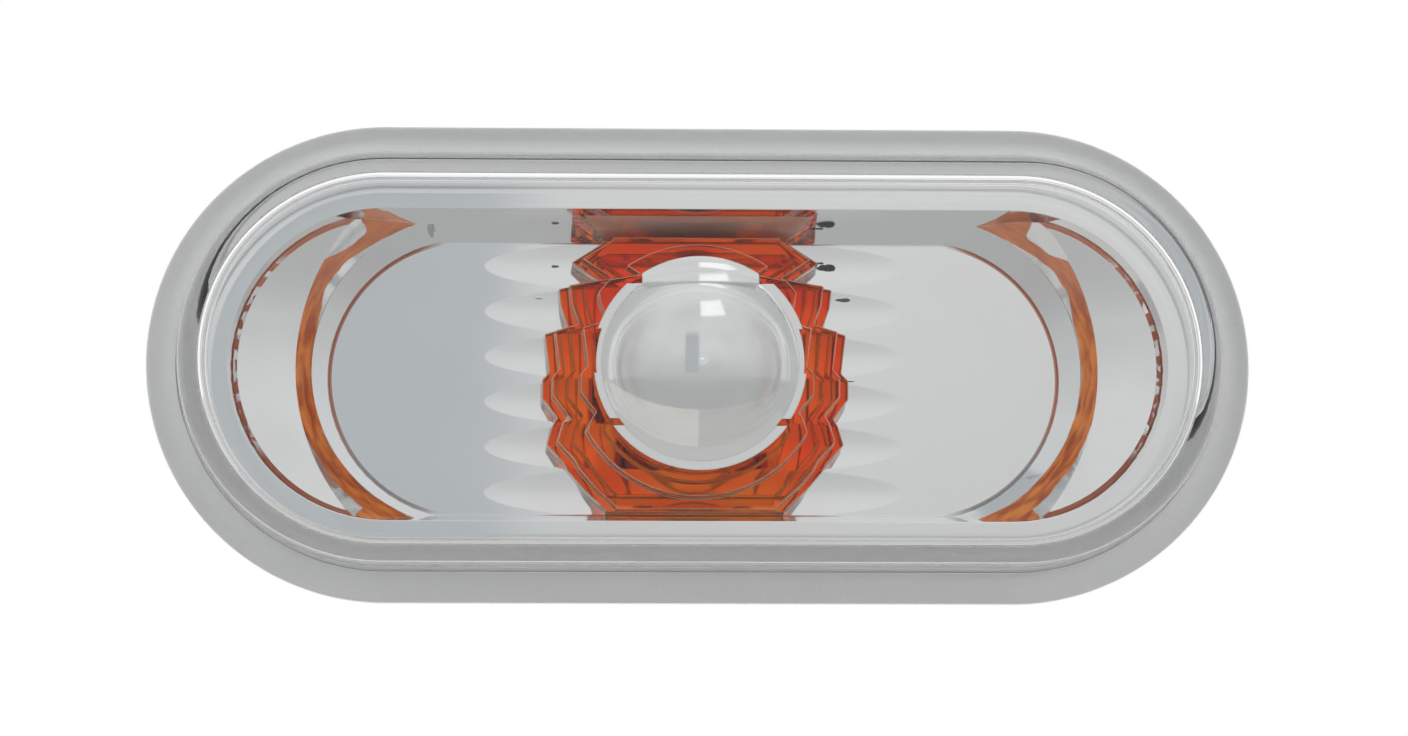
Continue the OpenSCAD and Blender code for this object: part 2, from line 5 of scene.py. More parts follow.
import bmesh
import bpy
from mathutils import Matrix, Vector
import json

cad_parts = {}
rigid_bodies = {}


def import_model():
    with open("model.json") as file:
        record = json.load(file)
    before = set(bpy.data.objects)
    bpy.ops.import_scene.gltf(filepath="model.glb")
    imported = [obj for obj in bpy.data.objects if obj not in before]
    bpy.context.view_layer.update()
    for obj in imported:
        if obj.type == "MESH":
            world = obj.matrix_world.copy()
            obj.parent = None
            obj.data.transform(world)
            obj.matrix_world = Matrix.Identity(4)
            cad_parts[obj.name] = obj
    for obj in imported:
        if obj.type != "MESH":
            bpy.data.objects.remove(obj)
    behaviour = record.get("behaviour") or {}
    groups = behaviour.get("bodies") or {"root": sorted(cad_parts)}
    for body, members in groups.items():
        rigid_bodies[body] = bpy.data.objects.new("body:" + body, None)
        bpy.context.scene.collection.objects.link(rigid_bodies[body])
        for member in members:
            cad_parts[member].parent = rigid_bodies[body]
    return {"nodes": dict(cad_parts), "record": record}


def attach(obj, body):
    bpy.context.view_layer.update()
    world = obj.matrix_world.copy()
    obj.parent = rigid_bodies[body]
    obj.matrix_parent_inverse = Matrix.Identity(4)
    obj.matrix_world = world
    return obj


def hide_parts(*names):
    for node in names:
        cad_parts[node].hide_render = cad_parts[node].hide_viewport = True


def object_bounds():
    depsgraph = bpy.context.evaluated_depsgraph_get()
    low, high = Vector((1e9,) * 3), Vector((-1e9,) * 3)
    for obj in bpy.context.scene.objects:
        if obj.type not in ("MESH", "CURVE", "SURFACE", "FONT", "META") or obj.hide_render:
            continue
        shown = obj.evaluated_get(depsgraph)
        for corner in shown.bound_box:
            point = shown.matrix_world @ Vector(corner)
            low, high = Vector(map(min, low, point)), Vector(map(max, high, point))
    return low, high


MM = 0.001

# The view: a long lens a little below the lamp and to its left
CAMERA_DISTANCE = 450 * MM
CAMERA_AZIMUTH = -2.2
CAMERA_ELEVATION = -6.2
PHOTO_WIDTH = 1408
LAMP_PIXELS = 1096
SENSOR = 36.0
LOOK_AT_PIXEL = (698, 369)
PHOTO_CENTRE = (704, 368)

# The studio, in metres. The cards on the floor are seen only in chrome and through glass
FLOOR_DROP = 160 * MM
FLOOR_SIZE = 3.0
CARD_LIFT = 0.002
TENT_RADIUS = 1.4
TENT_STEP = 5
TENT_SIDE = 100
MAT_EDGE = 1.39
SHEET_BACK = -0.2
SHEET_NEAR = 0.07
SHEET_FAR = 0.21
SHEET_HALF = 0.27

# Tones of the tent, by elevation and to the sides, of the darker stand and of the bright panel in it
TENT_LOW = (0.56, 0.563, 0.563)
TENT_MIDDLE = (0.69, 0.69, 0.688)
TENT_TOP = (0.80, 0.80, 0.80)
TENT_SIDES = (0.53, 0.53, 0.53)
STAND = (0.475, 0.495, 0.515)
PANEL = (1.12, 1.12, 1.11)

# Tones of the mat near the lamp and far from it, and of the sheets and side cards
MAT_NEAR = (0.455, 0.455, 0.45)
MAT_FAR = (0.55, 0.552, 0.55)
FLOOR_CARDS = [
    ("sheet_right", SHEET_NEAR, 0.0, SHEET_HALF, (0.51, 0.50, 0.49)),
    ("sheet_left", SHEET_NEAR, -SHEET_HALF, 0.0, (0.70, 0.685, 0.65)),
    ("sheet_near", SHEET_BACK, -SHEET_HALF, SHEET_HALF, (0.56, 0.55, 0.54)),
    ("side_left", SHEET_BACK, -MAT_EDGE, -SHEET_HALF, (0.66, 0.65, 0.625)),
    ("side_right", SHEET_BACK, SHEET_HALF, MAT_EDGE, (0.50, 0.50, 0.495)),
]

# How much more the tent, and the cards on the floor, light the matt pieces than they show in chrome
MATT_LIFT_ABOVE = 2.1
MATT_LIFT_BELOW = 1.15

# The lens, in the bench frame of the lamp: r across from its spine, z forward from the seat, in millimetres
SPINE = 26.25
LENS_HALF = 20.0
FRONT_HALF = 17.2
INNER_HALF = 15.2
CROWN_R = 260.0
CROWN_TOP = 11.0
WALL = 2.0
EDGE_R = 2.8
INNER_EDGE_R = 0.8
FLANGE_TOP = 4.3
FLANGE_EDGE_R = 1.2
SEAT_Z = 1.5
RIM_Z = 2.8
BORE_HALF = 17.05
AIR = 0.03
ARC_STEPS = 96

# The amber collar's rounded edges
COLLAR_EDGE = 0.28

# The reflector, in the same frame: its back plate and its round ends
PLATE_Z = -9.2
RECESS_SPINE = 19.4
PLATE_END_R = 11.9

# Where the chrome carries a painted reflection of the amber collar, in the row's millimetres: how far back
# the inner and the outer arc run on the faces that lean, by how much the inner one is cut slimmer and where
# its tip ends, and how far back and half how wide the ceiling's painted reflection is at the plate and at the
# front
INNER_ARC = (0.1, 2.52)
OUTER_ARC = (-0.42, 0.05)
ARC_SLIM = 0.6
ARC_TRIM_ABOVE = 1.3
ARC_TRIM_BELOW = 1.0
ARC_TIP = 12.95
CEILING_BACK = (9.2, 7.6)
CEILING_FRONT = (-0.6, 9.7)

# Painted dark reflections in the chrome: place across and up the lamp, half width, half height, how dark
PAINTED_DARK_SPOTS = [
    (11.5, 9.75, 0.8, 0.32, 1.0),
    (10.6, 10.15, 0.7, 0.11, 1.0),
    (12.9, 6.95, 0.75, 0.16, 0.9),
    (13.4, -0.1, 0.35, 0.07, 0.9),
    (-11.9, 9.75, 0.35, 0.14, 0.9),
    (-13.4, 6.95, 0.4, 0.08, 0.45),
    (-22.6, 12.3, 0.35, 0.35, 0.5),
    (28.7, -8.6, 0.6, 0.2, 0.3),
]


def clear_scene():
    for obj in list(bpy.data.objects):
        bpy.data.objects.remove(obj)


def direction(azimuth, elevation):
    a = math.radians(azimuth)
    e = math.radians(elevation)
    return Vector((math.sin(a) * math.cos(e), -math.cos(a) * math.cos(e), math.sin(e)))


def aim(obj, target, forward="-Z"):
    obj.rotation_euler = (target - obj.location).to_track_quat(forward, "Y").to_euler()


def add_camera(lamp_length):
    data = bpy.data.cameras.new("camera")
    data.sensor_width = SENSOR
    focal_pixels = LAMP_PIXELS * CAMERA_DISTANCE / lamp_length
    data.lens = focal_pixels * SENSOR / PHOTO_WIDTH
    data.clip_start = 0.01
    data.shift_x = (PHOTO_CENTRE[0] - LOOK_AT_PIXEL[0]) / PHOTO_WIDTH
    data.shift_y = -(PHOTO_CENTRE[1] - LOOK_AT_PIXEL[1]) / PHOTO_WIDTH
    camera = bpy.data.objects.new("camera", data)
    bpy.context.scene.collection.objects.link(camera)
    camera.location = direction(CAMERA_AZIMUTH, CAMERA_ELEVATION) * CAMERA_DISTANCE
    aim(camera, Vector((0, 0, 0)))
    bpy.context.scene.camera = camera
    return camera


class Shader:
    """A small helper that builds one node material."""

    def __init__(self, name):
        self.material = bpy.data.materials.new(name)
        self.material.use_nodes = True
        self.tree = self.material.node_tree
        self.tree.nodes.clear()
        self.output = self.tree.nodes.new("ShaderNodeOutputMaterial")

    def node(self, kind, inputs=None, **settings):
        node = self.tree.nodes.new("ShaderNode" + kind)
        for key, value in settings.items():
            setattr(node, key, value)
        for key, value in (inputs or {}).items():
            if isinstance(value, bpy.types.NodeSocket):
                self.tree.links.new(value, node.inputs[key])
            else:
                node.inputs[key].default_value = value
        return node

    def surface(self, socket):
        self.tree.links.new(socket, self.output.inputs["Surface"])

    def object_coords(self):
        return self.node("TexCoord").outputs["Object"]

    def noise(self, scale, detail=3.0, roughness=0.5, stretch=None, vector=None):
        vector = vector or self.object_coords()
        if stretch:
            vector = self.node("Mapping", {"Vector": vector, "Scale": stretch}).outputs["Vector"]
        inputs = {"Vector": vector, "Scale": scale, "Detail": detail, "Roughness": roughness}
        return self.node("TexNoise", inputs).outputs["Fac"]

    def map_range(self, value, low, high, to_low, to_high, kind="LINEAR"):
        inputs = {"Value": value, "From Min": low, "From Max": high, "To Min": to_low, "To Max": to_high}
        return self.node("MapRange", inputs, interpolation_type=kind).outputs["Result"]

    def math(self, operation, a, b=0.0):
        return self.node("Math", {0: a, 1: b}, operation=operation).outputs[0]

    def size(self, value):
        return self.math("ABSOLUTE", value)

    def times(self, value, factor):
        return self.math("MULTIPLY", value, factor)

    def opposite(self, value):
        return self.math("SUBTRACT", 1.0, value)

    def length(self, a, b):
        return self.math("SQRT", self.math("ADD", self.times(a, a), self.times(b, b)))

    def patches(self, scale, detail, low=0.35, high=0.65, vector=None):
        """Soft patches between 0 and 1."""
        return self.map_range(self.noise(scale, detail=detail, vector=vector), low, high, 0.0, 1.0)

    def rise(self, value, middle, soft):
        return self.map_range(value, middle - soft, middle + soft, 0.0, 1.0, "SMOOTHSTEP")

    def fall(self, value, middle, soft):
        return self.opposite(self.rise(value, middle, soft))

    def window(self, value, low, high, soft):
        """1 between low and high, falling off softly to 0 on both sides."""
        return self.times(self.rise(value, low, soft), self.fall(value, high, soft))

    def both(self, *factors):
        result = factors[0]
        for factor in factors[1:]:
            result = self.times(result, factor)
        return result

    def mix(self, factor, a, b):
        inputs = {"Factor": factor, "A": a if not isinstance(a, tuple) else tuple(a) + (1,),
                  "B": b if not isinstance(b, tuple) else tuple(b) + (1,)}
        return self.node("Mix", inputs, data_type="RGBA").outputs[2]

    def xyz(self, vector=None):
        return self.node("SeparateXYZ", {0: vector or self.object_coords()}).outputs

    def bump(self, height, strength, distance, normal=None):
        inputs = {"Height": height, "Strength": strength, "Distance": distance}
        if normal:
            inputs["Normal"] = normal
        return self.node("Bump", inputs).outputs["Normal"]


def bench(x, y, z):
    """A bench point in millimetres as a point of the row, in metres."""
    return Vector((x * MM, -z * MM, y * MM))


def arc(centre, radius, start, end, steps, turn=1):
    """Profile points (r, z, normal r, normal z) along an arc, in degrees; turn is -1 for a hollow one."""
    points = []
    for i in range(steps + 1):
        a = math.radians(start + (end - start) * i / steps)
        points.append((centre[0] + radius * math.cos(a), centre[1] + radius * math.sin(a),
                       turn * math.cos(a), turn * math.sin(a)))
    return points


def line(start, end, normal, steps=1):
    points = []
    for i in range(steps + 1):
        t = i / steps
        points.append((start[0] + (end[0] - start[0]) * t, start[1] + (end[1] - start[1]) * t) + normal)
    return points


def oval_path():
    """Spots round the lamp's outline: the end that each belongs to, and the way outward."""
    path = []
    for i in range(ARC_STEPS + 1):
        a = math.radians(-90 + 180 * i / ARC_STEPS)
        path.append((1, math.cos(a), math.sin(a)))
    for i in range(ARC_STEPS + 1):
        a = math.radians(90 + 180 * i / ARC_STEPS)
        path.append((-1, math.cos(a), math.sin(a)))
    return path


def sweep_oval(name, runs):
    """Carries smooth runs of a profile round the lamp's outline, with their exact normals."""
    path = oval_path()
    verts = []
    index = {}

    def vertex(i, r, z):
        side, across, up = path[i]
        key = (side if abs(r) < 1e-6 else i, round(r, 5), round(z, 5))
        if key not in index:
            index[key] = len(verts)
            verts.append(bench(side * SPINE + r * across, r * up, z))
        return index[key]

    faces = []
    normals = []
    for run in runs:
        for start, end in zip(run, run[1:]):
            for i in range(len(path)):
                j = (i + 1) % len(path)
                corners = []
                for k, (r, z, a, b) in ((i, start), (i, end), (j, end), (j, start)):
                    v = vertex(k, r, z)
                    if v not in [c[0] for c in corners]:
                        corners.append((v, bench(a * path[k][1], a * path[k][2], b).normalized()))
                if len(corners) > 2:
                    faces.append([c[0] for c in corners])
                    normals.extend(c[1] for c in corners)
    mesh = bpy.data.meshes.new(name)
    mesh.from_pydata(verts, [], faces)
    mesh.shade_smooth()
    mesh.normals_split_custom_set(normals)
    obj = bpy.data.objects.new(name, mesh)
    bpy.context.scene.collection.objects.link(obj)
    return obj


def crown(radius, edge_r, outward):
    """The crowned front and the rounding at its edge, from the spine outward."""
    ball_z = CROWN_TOP - CROWN_R
    edge_x = FRONT_HALF - EDGE_R
    lean = math.degrees(math.atan2(math.sqrt((CROWN_R - EDGE_R) ** 2 - edge_x ** 2), edge_x))
    corner = (edge_x, ball_z + math.sqrt((CROWN_R - EDGE_R) ** 2 - edge_x ** 2))
    return (arc((0, ball_z), radius, 90, lean, 24, outward), arc(corner, edge_r, lean, 0, 16, outward))


def make_lens():
    """The clear lens as one closed shell, a hair clear of what it is seated on."""
    top, top_edge = crown(CROWN_R, EDGE_R, 1)
    under, under_edge = crown(CROWN_R - WALL, INNER_EDGE_R, -1)
    fillet = 0.4
    lip = 0.3
    seat = SEAT_Z + AIR
    rim = RIM_Z + AIR
    flange_mid = FLANGE_TOP - FLANGE_EDGE_R
    outer = [
        top + top_edge[1:]
        + line((FRONT_HALF, top_edge[-1][1]), (FRONT_HALF, FLANGE_TOP + fillet), (1, 0))[1:]
        + arc((FRONT_HALF + fillet, FLANGE_TOP + fillet), fillet, 180, 270, 6, -1)[1:]
        + line((FRONT_HALF + fillet, FLANGE_TOP), (LENS_HALF - FLANGE_EDGE_R, FLANGE_TOP), (0, 1))[1:]
        + arc((LENS_HALF - FLANGE_EDGE_R, flange_mid), FLANGE_EDGE_R, 90, 0, 12)[1:]
        + line((LENS_HALF, flange_mid), (LENS_HALF, seat + lip), (1, 0))[1:]
        + arc((LENS_HALF - lip, seat + lip), lip, 0, -90, 6)[1:],
        line((LENS_HALF - lip, seat), (BORE_HALF, seat), (0, -1)),
        line((BORE_HALF, seat), (BORE_HALF, rim), (-1, 0)),
        line((BORE_HALF, rim), (INNER_HALF, rim), (0, -1)),
    ]
    inner = under + under_edge[1:] + line((INNER_HALF, under_edge[-1][1]), (INNER_HALF, rim), (-1, 0))[1:]
    lens = sweep_oval("lens_shell", outer + [inner[::-1]])
    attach(lens, "root")
    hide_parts("outer_lens")
    return lens


def make_collar(node):
    """The amber collar with its edges rounded, a hair clear of the plate and of the shield on it."""
    mesh = node.data.copy()
    mesh.name = "amber_collar"
    mesh.materials.clear()
    work = bmesh.new()
    work.from_mesh(mesh)
    bmesh.ops.remove_doubles(work, verts=work.verts, dist=2e-6)
    bmesh.ops.dissolve_limit(work, angle_limit=math.radians(0.5), verts=work.verts, edges=work.edges)
    front = min(v.co.y for v in work.verts)
    for v in work.verts:
        if abs(v.co.y + PLATE_Z * MM) < 2e-6:
            v.co.y -= AIR * MM
        if abs(v.co.y - front) < 2e-6:
            v.co.y += AIR * MM
    work.to_mesh(mesh)
    work.free()
    if "custom_normal" in mesh.attributes:
        mesh.attributes.remove(mesh.attributes["custom_normal"])
    mesh.shade_smooth()
    collar = bpy.data.objects.new("amber_collar", mesh)
    bpy.context.scene.collection.objects.link(collar)
    bevel = collar.modifiers.new("edges", "BEVEL")
    bevel.width = COLLAR_EDGE * MM
    # The bevel faces take the second slot, the painted pale highlight on the edges.
    bevel.material = 1
    bevel.segments = 3
    bevel.limit_method = "ANGLE"
    bevel.angle_limit = math.radians(25)
    bevel.miter_outer = "MITER_ARC"
    bevel.harden_normals = True
    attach(collar, "root")
    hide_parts("amber_filter")
    return collar


def chrome(name="chrome", color=(0.90, 0.91, 0.915), with_painted_reflections=True):
    """Vacuum-metallised plastic: nearly a mirror, a little wavy. On the reflector it carries painted
    reflections:
    the collar's amber on the faces that lean and on the ceiling, a painted line along the foot of its end
    walls and a few painted dark reflections."""
    s = Shader(name)
    wave = s.noise(90.0, detail=1.0)
    rounded = s.node("Bevel", {"Radius": 0.16 * MM}, samples=4).outputs["Normal"]
    normal = s.bump(wave, 0.2, 0.00006, rounded)
    haze = s.map_range(s.noise(60.0, detail=4.0), 0.35, 0.75, 0.03, 0.09)
    inputs = {"Base Color": color + (1,), "Metallic": 1.0, "Roughness": haze, "Normal": normal}
    if with_painted_reflections:
        tint, dull = reflector_painted_reflections(s, color)
        tint, dull = paint_dark_reflections(s, tint, dull)
        inputs["Base Color"] = tint
        inputs["Metallic"] = s.opposite(dull)
    shader = s.node("BsdfPrincipled", inputs)
    s.surface(shader.outputs["BSDF"])
    return s.material


def reflector_painted_reflections(s, color):
    """Painted reflections on the reflector's chrome, as a tint, and how far it stops being a mirror where it
    is tinted.
    """
    x, y, z = s.xyz()
    out = s.math("SUBTRACT", s.size(x), RECESS_SPINE * MM)
    radius = s.length(out, z)
    facing = s.xyz(s.node("NewGeometry").outputs["Normal"])
    # The amber arcs on the faces that lean are a painted reflection of the collar.
    arcs = s.both(s.window(s.size(facing[1]), 0.62, 0.80, 0.02), s.rise(out, 1.2 * MM, 1.0 * MM),
                  arc_reach(s, y, z))
    tint = s.mix(arcs, color, arc_painted_reflection(s, x, y, z, out, radius))
    # A painted reflection line along the foot of the plate's end walls, grey low down and brownish red higher
    # up.
    foot = s.both(s.window(radius, (PLATE_END_R - 0.19) * MM, (PLATE_END_R + 0.04) * MM, 0.03 * MM),
                  s.rise(out, 3.2 * MM, 1.6 * MM), s.rise(y, 8.8 * MM, 0.05 * MM))
    foot_painted_reflection = s.mix(s.rise(z, -5.0 * MM, 3.0 * MM), (0.42, 0.39, 0.385), (0.55, 0.26, 0.19))
    tint = s.mix(foot, tint, foot_painted_reflection)
    # The ceiling's salmon tint is a painted reflection of the amber collar.
    half = s.map_range(y, CEILING_BACK[0] * MM, CEILING_FRONT[0] * MM,
                       CEILING_BACK[1] * MM, CEILING_FRONT[1] * MM)
    ceiling = s.both(s.fall(s.math("SUBTRACT", s.size(x), half), 0.0, 0.15 * MM),
                     s.fall(facing[2], -0.5, 0.2),
                     s.rise(z, 8.0 * MM, 1.0 * MM), s.rise(y, -0.5 * MM, 0.1 * MM))
    ceiling_painted_reflection = s.mix(s.patches(260.0, 2.0), (0.97, 0.60, 0.46), (0.99, 0.74, 0.62))
    tint = s.mix(ceiling, tint, ceiling_painted_reflection)
    return tint, s.math("MAXIMUM", s.times(arcs, 0.75), s.times(ceiling, 0.9))


def arc_reach(s, y, z):
    """How far the painted amber reflection arcs run on the leaning faces: the inner one slimmer above and
    below, the outer one broken into dashes beside the lamp's middle."""
    ragged = s.map_range(s.noise(420.0, detail=2.0), 0.3, 0.7, -0.12 * MM, 0.12 * MM)
    depth = s.math("ADD", y, ragged)
    slim = s.times(s.window(z, 5.5 * MM, 10.0 * MM, 1.6 * MM), ARC_SLIM * MM)
    above = s.times(s.window(z, 9.4 * MM, 12.1 * MM, 0.9 * MM), ARC_TRIM_ABOVE * MM)
    below = s.math("SUBTRACT", s.rise(z, -12.1 * MM, 0.5 * MM), s.rise(z, -4.4 * MM, 0.3 * MM))
    trim = s.math("ADD", above, s.times(below, ARC_TRIM_BELOW * MM))
    inner = s.both(s.fall(z, ARC_TIP * MM, 0.08 * MM),
                   s.rise(s.math("SUBTRACT", depth, trim), INNER_ARC[0] * MM, 0.05 * MM),
                   s.fall(s.math("ADD", depth, slim), INNER_ARC[1] * MM, 0.06 * MM))
    dashes = s.patches(900.0, 1.0, 0.46, 0.52)
    solid = s.rise(s.size(s.math("ADD", z, -1.0 * MM)), 8.0 * MM, 0.8 * MM)
    outer = s.both(s.fall(y, OUTER_ARC[1] * MM, 0.05 * MM), s.rise(depth, OUTER_ARC[0] * MM, 0.06 * MM),
                   s.math("MAXIMUM", dashes, solid))
    return s.math("MAXIMUM", inner, outer)


def arc_painted_reflection(s, x, y, z, out, radius):
    """Painted amber reflection, streaked along the arcs, brown at their front line and paler towards the top.
    """
    turn = s.math("ARCTAN2", z, out)
    along = s.node("CombineXYZ", {0: s.times(radius, 1000.0), 1: s.times(turn, 2.5), 2: s.times(x, 30.0)})
    streak = s.patches(2.2, 2.0, 0.38, 0.62, along.outputs[0])
    # glow is the colour of the painted reflection, not light given off by the chrome.
    glow = s.mix(streak, (0.52, 0.10, 0.025), (0.98, 0.30, 0.05))
    glow = s.mix(s.rise(y, 0.15 * MM, 0.2 * MM), (0.42, 0.12, 0.06), glow)
    return s.mix(s.times(s.rise(z, 6.0 * MM, 3.0 * MM), 0.6), glow, (0.85, 0.34, 0.20))


def paint_dark_reflections(s, tint, dull):
    # Near-black painted reflections of dark things, with the chrome duller there.
    x, y, z = s.xyz()
    ragged = s.map_range(s.noise(1400.0, detail=3.0), 0.3, 0.7, -0.35, 0.35)
    for at_x, at_z, half_x, half_z, dark in PAINTED_DARK_SPOTS:
        across = s.math("DIVIDE", s.math("SUBTRACT", x, at_x * MM), half_x * MM)
        up = s.math("DIVIDE", s.math("SUBTRACT", z, at_z * MM), half_z * MM)
        far = s.math("ADD", s.length(across, up), ragged)
        spot = s.both(s.fall(far, 0.9, 0.15), s.rise(y, 2.6 * MM, 0.05 * MM))
        tint = s.mix(s.times(spot, dark), tint, (0.05, 0.05, 0.05))
        dull = s.math("MAXIMUM", dull, s.times(spot, 0.5 * dark))
    return tint, dull


def clear_acrylic():
    s = Shader("clear_acrylic")
    rough = s.map_range(s.noise(140.0, detail=5.0), 0.45, 0.8, 0.0, 0.05)
    normal = s.bump(s.noise(70.0, detail=1.0), 0.15, 0.00005)
    shader = s.node("BsdfPrincipled", {
        "Base Color": (0.99, 0.995, 0.993, 1),
        "Roughness": rough,
        "IOR": 1.49,
        "Specular Tint": (0.5, 0.5, 0.5, 1),
        "Transmission Weight": 1.0,
        "Normal": normal,
    })
    s.surface(shader.outputs["BSDF"])
    return s.material


def amber_acrylic():
    """Clear plastic dyed amber: each face that light crosses deepens it, from yellow-orange to red."""
    s = Shader("amber_acrylic")
    normal = s.bump(s.noise(160.0, detail=1.0), 0.25, 0.00006)
    dye = s.mix(s.patches(120.0, 1.5), (0.98, 0.21, 0.03), (0.99, 0.40, 0.05))
    shader = s.node("BsdfPrincipled", {
        "Base Color": dye,
        "Roughness": s.map_range(s.noise(90.0, detail=4.0), 0.4, 0.8, 0.02, 0.06),
        "IOR": 1.49,
        "Specular Tint": (0.2, 0.1, 0.08, 1),
        "Transmission Weight": 1.0,
        "Normal": normal,
    })
    s.surface(shader.outputs["BSDF"])
    return s.material


def amber_edge_painted_highlight():
    """The rounded edges of the same plastic, given a paler colour: a painted highlight for the light these
    edges catch.
    """
    s = Shader("amber_edge_painted_highlight")
    shader = s.node("BsdfPrincipled", {
        "Base Color": s.mix(s.patches(220.0, 2.0), (0.98, 0.45, 0.22), (0.99, 0.74, 0.58)),
        "Roughness": s.map_range(s.noise(90.0), 0.4, 0.8, 0.10, 0.20),
        "IOR": 1.49,
        "Transmission Weight": 0.5,
    })
    s.surface(shader.outputs["BSDF"])
    return s.material


def clear_glass():
    s = Shader("bulb_glass")
    shader = s.node("BsdfPrincipled", {
        "Base Color": (0.97, 0.98, 0.975, 1),
        "Roughness": s.map_range(s.noise(120.0), 0.4, 0.8, 0.0, 0.03),
        "IOR": 1.5,
        "Transmission Weight": 1.0,
    })
    s.surface(shader.outputs["BSDF"])
    return s.material


def moulded(name, color, spread, rough, grain=900.0, grain_depth=0.00003):
    s = Shader(name)
    dark = tuple(c * (1 - spread) for c in color)
    light = tuple(min(1, c * (1 + spread)) for c in color)
    normal = s.bump(s.noise(grain, detail=3.0), 0.4, grain_depth)
    shader = s.node("BsdfPrincipled", {
        "Base Color": s.mix(s.noise(45.0, detail=5.0), dark, light),
        "Roughness": s.map_range(s.noise(200.0), 0.3, 0.7, rough - 0.06, rough + 0.08),
        "Normal": normal,
    })
    s.surface(shader.outputs["BSDF"])
    return s.material


def metal(name, color, rough):
    s = Shader(name)
    shader = s.node("BsdfPrincipled", {
        "Base Color": color + (1,),
        "Metallic": 1.0,
        "Roughness": s.map_range(s.noise(500.0, stretch=(1, 0.1, 1)), 0.3, 0.7, rough - 0.08, rough + 0.1),
        "Normal": s.bump(s.noise(700.0, stretch=(1, 0.08, 1)), 0.3, 0.00002),
    })
    s.surface(shader.outputs["BSDF"])
    return s.material


def dress(frame):
    finishes = {
        "clear_lens": clear_acrylic(),
        "foam": moulded("foam", (0.88, 0.885, 0.885), 0.03, 0.85, grain=1500.0, grain_depth=0.0001),
        "shell_plastic": moulded("shell_plastic", (0.76, 0.765, 0.77), 0.04, 0.45),
        "chrome": chrome(),
        "amber_plastic": amber_acrylic(),
        "bulb_glass": clear_glass(),
        "wire": metal("wire", (0.72, 0.71, 0.70), 0.3),
        "holder_plastic": moulded("holder_plastic", (0.035, 0.035, 0.038), 0.15, 0.42),
        "seal_rubber": moulded("seal_rubber", (0.02, 0.02, 0.02), 0.2, 0.6),
        "brass": metal("brass", (0.80, 0.62, 0.30), 0.25),
    }
    for part in frame["record"]["subparts"]:
        node = frame["nodes"][part["node"]]
        for material_slot in node.material_slots:
            material_slot.material = finishes[part["material_slot"]]
    for material_slot in frame["nodes"]["dome_shield"].material_slots:
        material_slot.material = chrome("dome_chrome", (0.86, 0.87, 0.875), with_painted_reflections=False)
    return finishes


def for_matt(s, lift):
    """1 as chrome and glass show the stage, and lift as it lights matt pieces, also through the lens."""
    bounced = s.node("LightPath").outputs["Diffuse Depth"]
    return s.map_range(bounced, 0.0, 1.0, 1.0, lift)


def emission(name, color):
    s = Shader(name)
    shader = s.node("Emission", {"Color": color + (1,), "Strength": for_matt(s, MATT_LIFT_BELOW)})
    s.surface(shader.outputs["Emission"])
    return s.material


def plane(name, width, height, location, target=None):
    half_w = width / 2
    half_h = height / 2
    mesh = bpy.data.meshes.new(name)
    corners = [(-half_w, -half_h, 0), (half_w, -half_h, 0), (half_w, half_h, 0), (-half_w, half_h, 0)]
    mesh.from_pydata(corners, [], [(0, 1, 2, 3)])
    obj = bpy.data.objects.new(name, mesh)
    bpy.context.scene.collection.objects.link(obj)
    obj.location = location
    if target is not None:
        aim(obj, target, "Z")
    return obj


def reflected_only(obj):
    obj.visible_camera = False
    obj.visible_diffuse = False
    obj.visible_shadow = False


def floor_card(name, near, far, left, right, material):
    """A flat card on the floor in front of the lamp, seen only in reflections and through glass."""
    z = -FLOOR_DROP + CARD_LIFT
    mesh = bpy.data.meshes.new(name)
    corners = [(left, -far, z), (left, -near, z), (right, -near, z), (right, -far, z)]
    mesh.from_pydata(corners, [], [(0, 1, 2, 3)])
    obj = bpy.data.objects.new(name, mesh)
    bpy.context.scene.collection.objects.link(obj)
    mesh.materials.append(material)
    reflected_only(obj)
    return obj


def add_floor():
    floor = plane("floor", FLOOR_SIZE, FLOOR_SIZE, Vector((0, 0, -FLOOR_DROP)))
    s = Shader("floor")
    shader = s.node("BsdfPrincipled", {
        "Base Color": (0.9, 0.9, 0.9, 1),
        "Roughness": s.map_range(s.noise(8.0), 0.3, 0.7, 0.6, 0.75),
    })
    s.surface(shader.outputs["BSDF"])
    floor.data.materials.append(s.material)


def add_world():
    world = bpy.data.worlds.new("studio")
    bpy.context.scene.world = world
    world.use_nodes = True
    tree = world.node_tree
    tree.nodes.clear()
    output = tree.nodes.new("ShaderNodeOutputWorld")
    seen = tree.nodes.new("ShaderNodeBackground")
    seen.inputs["Color"].default_value = (1, 1, 1, 1)
    fill = tree.nodes.new("ShaderNodeBackground")
    fill.inputs["Color"].default_value = (0.95, 0.97, 1.0, 1)
    fill.inputs["Strength"].default_value = 0.65
    path = tree.nodes.new("ShaderNodeLightPath")
    first = tree.nodes.new("ShaderNodeMath")
    first.operation = "MAXIMUM"
    second = tree.nodes.new("ShaderNodeMath")
    second.operation = "MAXIMUM"
    mix = tree.nodes.new("ShaderNodeMixShader")
    tree.links.new(path.outputs["Is Camera Ray"], first.inputs[0])
    tree.links.new(path.outputs["Is Glossy Ray"], first.inputs[1])
    tree.links.new(first.outputs[0], second.inputs[0])
    tree.links.new(path.outputs["Is Transmission Ray"], second.inputs[1])
    tree.links.new(second.outputs[0], mix.inputs[0])
    tree.links.new(fill.outputs[0], mix.inputs[1])
    tree.links.new(seen.outputs[0], mix.inputs[2])
    tree.links.new(mix.outputs[0], output.inputs[0])


def softbox(name, azimuth, elevation, distance, size, power):
    """A soft lamp that lights the matt pieces; what chrome and glass see is the tent."""
    data = bpy.data.lights.new(name, "AREA")
    data.shape = "RECTANGLE"
    data.size = size[0]
    data.size_y = size[1]
    data.energy = power
    lamp = bpy.data.objects.new(name, data)
    bpy.context.scene.collection.objects.link(lamp)
    lamp.location = direction(azimuth, elevation) * distance
    aim(lamp, Vector((0, 0, 0)))
    lamp.visible_glossy = False
    lamp.visible_transmission = False
    return lamp


